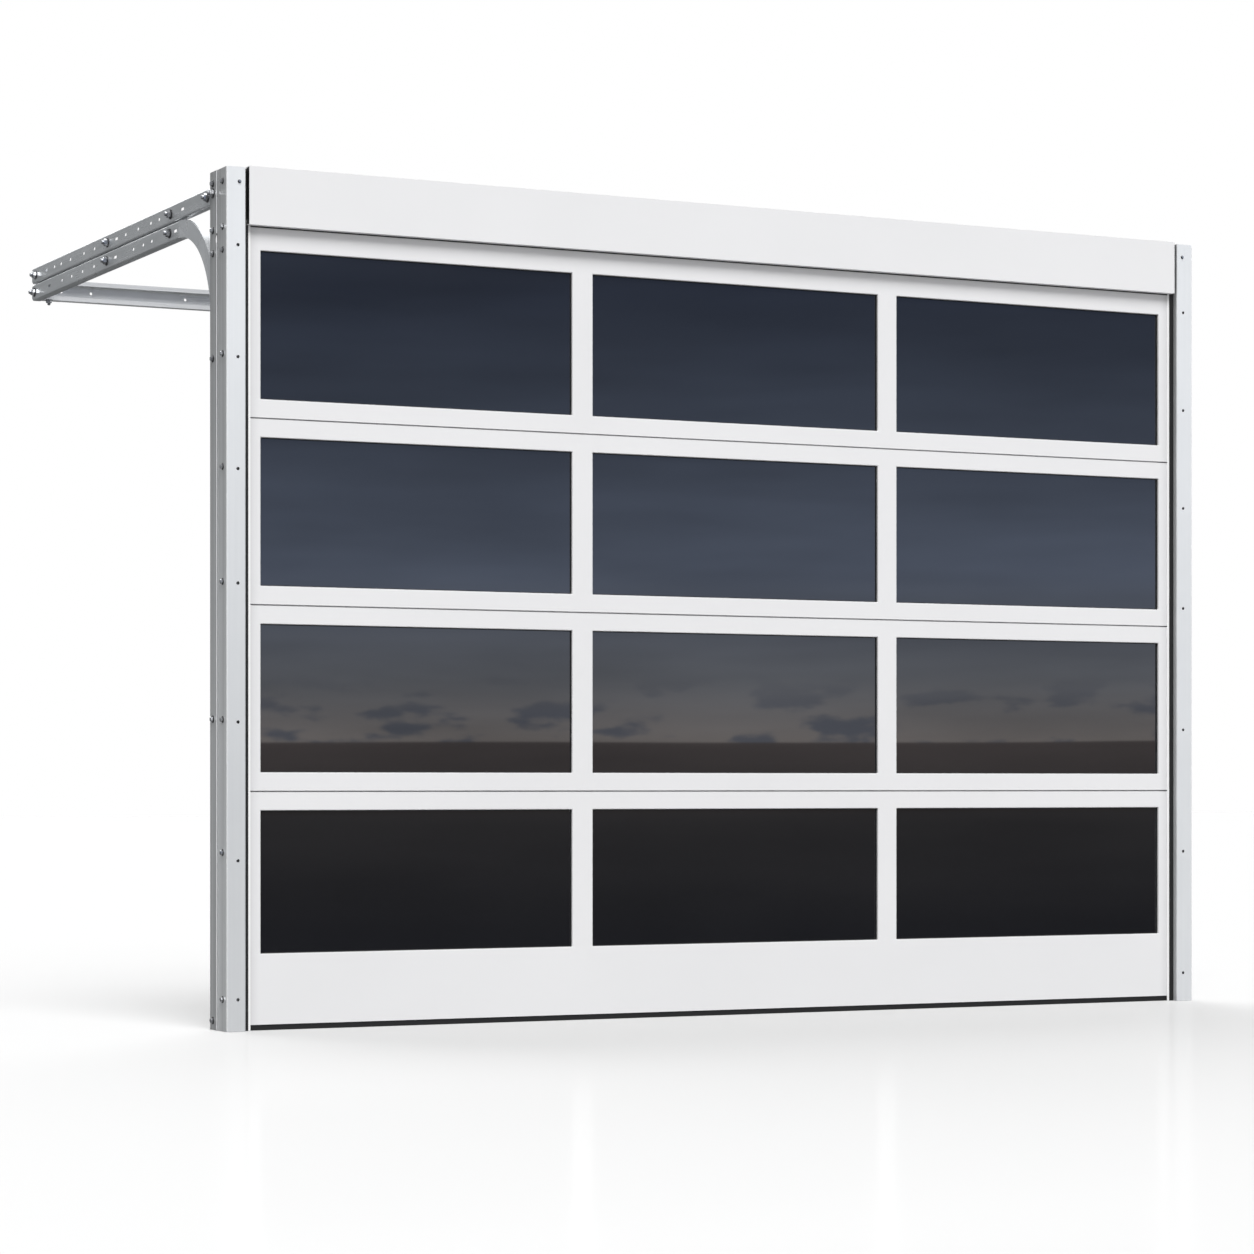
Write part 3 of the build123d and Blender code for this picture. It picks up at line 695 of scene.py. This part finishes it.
def make_jamb_fasteners():
    """Screws on the outer side of the jambs and side plates, and the highest on their front."""
    heads = bmesh.new()
    flanges = bmesh.new()
    for number, z in enumerate(SIDE_SCREWS):
        place = (OUTER, SIDE_SCREW_Y, z)
        add_flange_screw(heads, flanges, place, OUTWARDS, 0.011, 0.5 * number)
    for number, z in enumerate(PLATE_SCREWS):
        place = (PLATE_OUTER, PLATE_SCREW_Y, z)
        add_flange_screw(heads, flanges, place, OUTWARDS, 0.012, 0.4 * number)
    add_flange_screw(heads, flanges, FRONT_SCREW, FORWARDS, 0.006, 0.3)
    add_pair("jamb_screws", heads, FITTING)
    # Screw flanges near-black: dark zinc with painted shade round the heads.
    add_pair("jamb_washers", flanges, DARK_FITTING_AND_SHADE)


make_track_fasteners()
make_jamb_fasteners()

# Edges of the frame

CUT_OUT_Z = LEAF_TOP - 0.045
CUT_OUT_REACH = 0.014


def make_plate_edges():
    """Rolled edge of the side plates where they lap the jambs, open at the half-round cut-out,
    light-coloured as a painted highlight.
    """
    radius = 0.0013
    floor_gap = 0.001
    shape = bmesh.new()
    for start, end in (
        (floor_gap, CUT_OUT_Z - CUT_OUT_REACH),
        (CUT_OUT_Z + CUT_OUT_REACH, PLATE_TOP - floor_gap),
    ):
        place = (PLATE_OUTER, PLATE_FRONT + radius, start)
        add_turned(shape, place, UP, rod(end - start, radius, 0.0008, 0.0009), 10)
    add_pair("plate_edges", shape, EDGE_HIGHLIGHT_STEEL)


def make_jamb_corners():
    """Rolled outer corner of the jambs, light-coloured as a painted highlight."""
    radius = 0.0011
    shape = bmesh.new()
    place = (OUTER + radius * 0.8, radius * 0.8, 0.001)
    add_turned(shape, place, UP, rod(JAMB_TOP - 0.002, radius, 0.0006, radius * 0.7), 12)
    add_pair("jamb_corners", shape, EDGE_HIGHLIGHT_STEEL)


def make_fascia_end_shade_caps():
    """Black caps in the open ends of the fascia: a dark sheet standing for the shade inside them,
    painted shade.
    """
    wall = 0.0026
    cap = 0.004
    setback = 0.0002
    low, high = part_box("fascia_panel")
    shape = bmesh.new()
    add_box(
        shape,
        (low.x + setback, low.y + wall, low.z + wall),
        (low.x + setback + cap, high.y - 0.0005, high.z - wall),
        0.0005,
    )
    add_pair("fascia_end_shade_caps", shape, RUBBER)


make_plate_edges()
make_jamb_corners()
make_fascia_end_shade_caps()

# Hinge screws

HINGE_HALF = 0.025
HINGE_PLATE = 0.0025
HINGE_SCREW_X = 0.015
HINGE_SCREW_Z = 0.026


def make_hinge_screws():
    """Two screws in each hinge leaf; below the joint the end hinges are the roller carriers."""
    ends = [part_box("hinge_upper_leaves")[0].x + HINGE_HALF]
    ends.append(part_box("hinge_upper_leaves")[1].x - HINGE_HALF)
    mullions = [end + MULLION / 2 for start, end in PANE_COLUMNS[:2]]
    shape = bmesh.new()
    for joint in JOINTS:
        for middles, rise, turn in (
            ([ends[0], *mullions, ends[1]], HINGE_SCREW_Z, 0.6),
            (mullions, -HINGE_SCREW_Z, 0.45),
        ):
            for x in middles:
                for sign in (-1, 1):
                    place = (x + sign * HINGE_SCREW_X, LEAF_BACK + HINGE_PLATE, joint + rise)
                    add_flange_screw(shape, shape, place, BACKWARDS, 0.007, sign * turn)
    add_piece("hinge_screws", shape, FITTING)


make_hinge_screws()

# Springs

SPRING_RADIUS = 0.014
SPRING_WIRE = 0.004
SPRING_CAP = 0.006
SPRING_TURNS = 150
WIRE_SIDES = 6
STEPS_A_TURN = 14


def make_springs():
    """Close helix of round wire under a turned cap."""
    low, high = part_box("tension_springs")
    bottom = Vector((low.x + SPRING_RADIUS, (low.y + high.y) / 2, low.z + SPRING_WIRE / 2))
    length = high.z - SPRING_CAP - low.z - SPRING_WIRE
    steps = SPRING_TURNS * STEPS_A_TURN
    rings = []
    for n in range(steps + 1):
        angle = 2 * math.pi * n / STEPS_A_TURN
        outwards = Vector((math.cos(angle), math.sin(angle), 0))
        middle = bottom + outwards * (SPRING_RADIUS - SPRING_WIRE / 2) + UP * (length * n / steps)
        rings.append(ring(middle, outwards, UP, SPRING_WIRE / 2, WIRE_SIDES))
    shape = bmesh.new()
    add_skin(shape, rings)
    cap = rod(SPRING_CAP, SPRING_RADIUS, 0.001, SPRING_RADIUS - 0.001)
    add_turned(shape, (bottom.x, bottom.y, high.z - SPRING_CAP), UP, cap, 20)
    add_pair("coil_springs", shape, SPRING_STEEL, ("tension_springs",), True)


make_springs()

# Glazing gaskets

GASKET = 0.0025
GASKET_DEPTH = 0.003
GASKET_EDGE = 0.0006


def make_gaskets():
    """Black gasket on the glass all round each pane opening."""
    front = GLASS_FRONT - GASKET_DEPTH
    shape = bmesh.new()
    for low_z, high_z in PANE_ROWS:
        for low_x, high_x in PANE_COLUMNS:
            for x0, x1, z0, z1 in (
                (low_x, low_x + GASKET, low_z, high_z),
                (high_x - GASKET, high_x, low_z, high_z),
                (low_x, high_x, low_z, low_z + GASKET),
                (low_x, high_x, high_z - GASKET, high_z),
            ):
                add_box(shape, (x0, front, z0), (x1, GLASS_FRONT, z1), GASKET_EDGE)
    add_piece("pane_gaskets", shape, RUBBER)


make_gaskets()

# Studio

WHITE_LIGHT = (1, 1, 1, 1)
FLOOR_SIZE = 60.0
FLOOR_DROP = 0.0005
FLOOR_SEEN = (0.68, 0.68, 0.68, 1)
FLOOR_BOUNCE = (0.27, 0.27, 0.27, 1)
FLOOR_LIFT = 0.15
FLOOR_MIRROR = 0.085
FLOOR_ROUGHNESS = 0.12
WORLD_STRENGTH = 0.36
HORIZON_HEIGHT = 0.0122
HORIZON_HALF = 0.0002
GROUND = [
    (0.00, (0.55, 0.55, 0.56)),
    (0.40, (0.20, 0.20, 0.21)),
    (0.455, (0.05, 0.05, 0.06)),
    (0.490, (0.13, 0.12, 0.12)),
    (0.512, (0.32, 0.27, 0.26)),
]
DUSK = [
    (0.512, (0.97, 0.88, 0.84)),
    (0.530, (0.68, 0.72, 0.81)),
    (0.560, (0.48, 0.58, 0.81)),
    (0.610, (0.24, 0.30, 0.44)),
    (0.640, (0.14, 0.18, 0.29)),
    (0.720, (0.40, 0.44, 0.52)),
    (1.00, (0.90, 0.90, 0.92)),
]
HAZE_STRETCH = (9.0, 9.0, 70.0)
CLOUD_STRETCH = (44.0, 44.0, 150.0)
CLOUD_COLOUR = (0.40, 0.45, 0.58, 1)
CLOUD_SHARE = 0.85
CLOUD_START = 0.50
CLOUD_FULL = 0.60
CLOUD_TOP = 0.034
CLOUD_MIDDLE = 0.018
HAZE_PLAY = 0.45
PICTURE_SIZE = 1254
SENSOR_WIDTH = 36.0
FOCAL_LENGTH = 3495.6
HORIZON_ROW = 784.50
CAMERA_PLACE = (-3.1783, -8.8089, 0.6585)
CAMERA_TURN = 26.217


def mixed_shader(tree, share, first, second):
    """The first shader, with a share of the second over it."""
    return add_node(tree, "MixShader", {"Fac": share, 1: first, 2: second})


def mixed_colour(tree, share, first, second):
    """The first colour, with a share of the second over it."""
    inputs = {"Factor": share, 6: first, 7: second}
    return add_node(tree, "Mix", inputs, 2, data_type="RGBA")


def add_node_output(tree, kind, surface):
    """The tree's output node."""
    tree.links.new(surface, tree.nodes.new(f"ShaderNode{kind}").inputs["Surface"])


def floor_material():
    """Pale floor: white to the camera apart from shadow and a faint mirror, clear to gloss."""
    material = bpy.data.materials.new("studio_floor")
    material.use_nodes = True
    tree = material.node_tree
    tree.nodes.clear()
    camera_ray = add_node(tree, "LightPath", {}, "Is Camera Ray")
    glossy_ray = add_node(tree, "LightPath", {}, "Is Glossy Ray")
    seen = mixed_colour(tree, camera_ray, FLOOR_BOUNCE, FLOOR_SEEN)
    diffuse = add_node(tree, "BsdfDiffuse", {"Color": seen})
    white = add_node(tree, "Emission", {"Color": WHITE_LIGHT})
    lifted = mixed_shader(tree, spread(tree, camera_ray, 0.0, FLOOR_LIFT), diffuse, white)
    gloss = add_node(tree, "BsdfGlossy", {"Roughness": FLOOR_ROUGHNESS})
    clear = add_node(tree, "BsdfTransparent", {})
    solid = mixed_shader(tree, FLOOR_MIRROR, lifted, gloss)
    shown = mixed_shader(tree, glossy_ray, solid, clear)
    add_node_output(tree, "OutputMaterial", shown)
    return material


def stage_floor():
    """Large pale floor that keeps the door's shadow."""
    mesh = bpy.data.meshes.new("studio_floor")
    shape = bmesh.new()
    bmesh.ops.create_grid(shape, x_segments=1, y_segments=1, size=FLOOR_SIZE)
    shape.to_mesh(mesh)
    shape.free()
    mesh.materials.append(floor_material())
    floor = bpy.data.objects.new("studio_floor", mesh)
    floor.location.z = -FLOOR_DROP
    bpy.context.scene.collection.objects.link(floor)


def dusk_window(tree, place):
    """What gloss sees: a dim room, with a dusk sky over dark ground in front of the door."""
    depth = add_node(tree, "SeparateXYZ", {"Vector": place}, "Y")
    height = add_node(tree, "SeparateXYZ", {"Vector": place}, "Z")
    level = add_node(tree, "MapRange", {"Value": height, "From Min": -0.5, "From Max": 0.5})
    billows = noise(tree, stretched(tree, place, CLOUD_STRETCH), 1.0, 5.0)
    low_sky = ease(tree, height, CLOUD_TOP, CLOUD_MIDDLE)
    clouds = ease(tree, billows, CLOUD_START, CLOUD_FULL, 0.0, CLOUD_SHARE)
    share = arithmetic(tree, "MULTIPLY", clouds, low_sky)
    sky = mixed_colour(tree, share, ramp(tree, level, DUSK), CLOUD_COLOUR)
    above = ease(tree, height, HORIZON_HEIGHT - HORIZON_HALF, HORIZON_HEIGHT + HORIZON_HALF)
    outdoors = mixed_colour(tree, above, ramp(tree, level, GROUND), sky)
    haze = noise(tree, stretched(tree, place, HAZE_STRETCH), 1.0, 4.0)
    view = scaled(tree, outdoors, spread(tree, haze, 1 - HAZE_PLAY, 1 + HAZE_PLAY))
    walls = between(tree, ease(tree, depth, -0.5, 0.6), (1.0, 1.0, 1.0), (0.30, 0.31, 0.32))
    room = scaled(tree, walls, ease(tree, height, -0.2, 0.2, 0.3, 1.0))
    ahead = ease(tree, depth, -0.35, -0.6)
    near_level = ease(tree, arithmetic(tree, "ABSOLUTE", height), 0.55, 0.35)
    window = arithmetic(tree, "MULTIPLY", ahead, near_level)
    return mixed_colour(tree, window, room, view)


def stage_world():
    """Even light all round; the camera sees white, and gloss sees the dusk window."""
    world = bpy.data.worlds.new("studio")
    bpy.context.scene.world = world
    world.use_nodes = True
    tree = world.node_tree
    tree.nodes.clear()
    place = add_node(tree, "TexCoord", {}, "Generated")
    camera_ray = add_node(tree, "LightPath", {}, "Is Camera Ray")
    glossy_ray = add_node(tree, "LightPath", {}, "Is Glossy Ray")
    plain = add_node(tree, "Background", {"Color": WHITE_LIGHT, "Strength": WORLD_STRENGTH})
    gloss = add_node(tree, "Background", {"Color": dusk_window(tree, place)})
    white = add_node(tree, "Background", {"Color": WHITE_LIGHT})
    light = mixed_shader(tree, glossy_ray, plain, gloss)
    add_node_output(tree, "OutputWorld", mixed_shader(tree, camera_ray, light, white))


def stage_sun(name, direction, strength, softness):
    """Soft distant lamp that shines along a direction."""
    lamp = bpy.data.lights.new(name, "SUN")
    lamp.energy = strength
    lamp.angle = math.radians(softness)
    holder = bpy.data.objects.new(name, lamp)
    holder.rotation_euler = Vector(direction).to_track_quat("-Z", "Y").to_euler()
    bpy.context.scene.collection.objects.link(holder)


def stage_camera():
    """Level camera at the photograph's viewing angle."""
    camera = bpy.data.cameras.new("camera")
    camera.sensor_width = SENSOR_WIDTH
    camera.lens = FOCAL_LENGTH / PICTURE_SIZE * SENSOR_WIDTH
    camera.shift_y = (HORIZON_ROW - PICTURE_SIZE / 2) / PICTURE_SIZE
    camera.clip_end = 200
    holder = bpy.data.objects.new("camera", camera)
    holder.location = CAMERA_PLACE
    holder.rotation_euler = (math.pi / 2, 0, -math.radians(CAMERA_TURN))
    bpy.context.scene.collection.objects.link(holder)
    bpy.context.scene.camera = holder


stage_floor()
stage_world()
stage_sun("key", (0.12, 0.62, -0.76), 3.0, 36)
stage_sun("back", (-0.10, -0.72, -0.68), 2.3, 60)
stage_camera()
bpy.context.scene.view_settings.view_transform = "Standard"
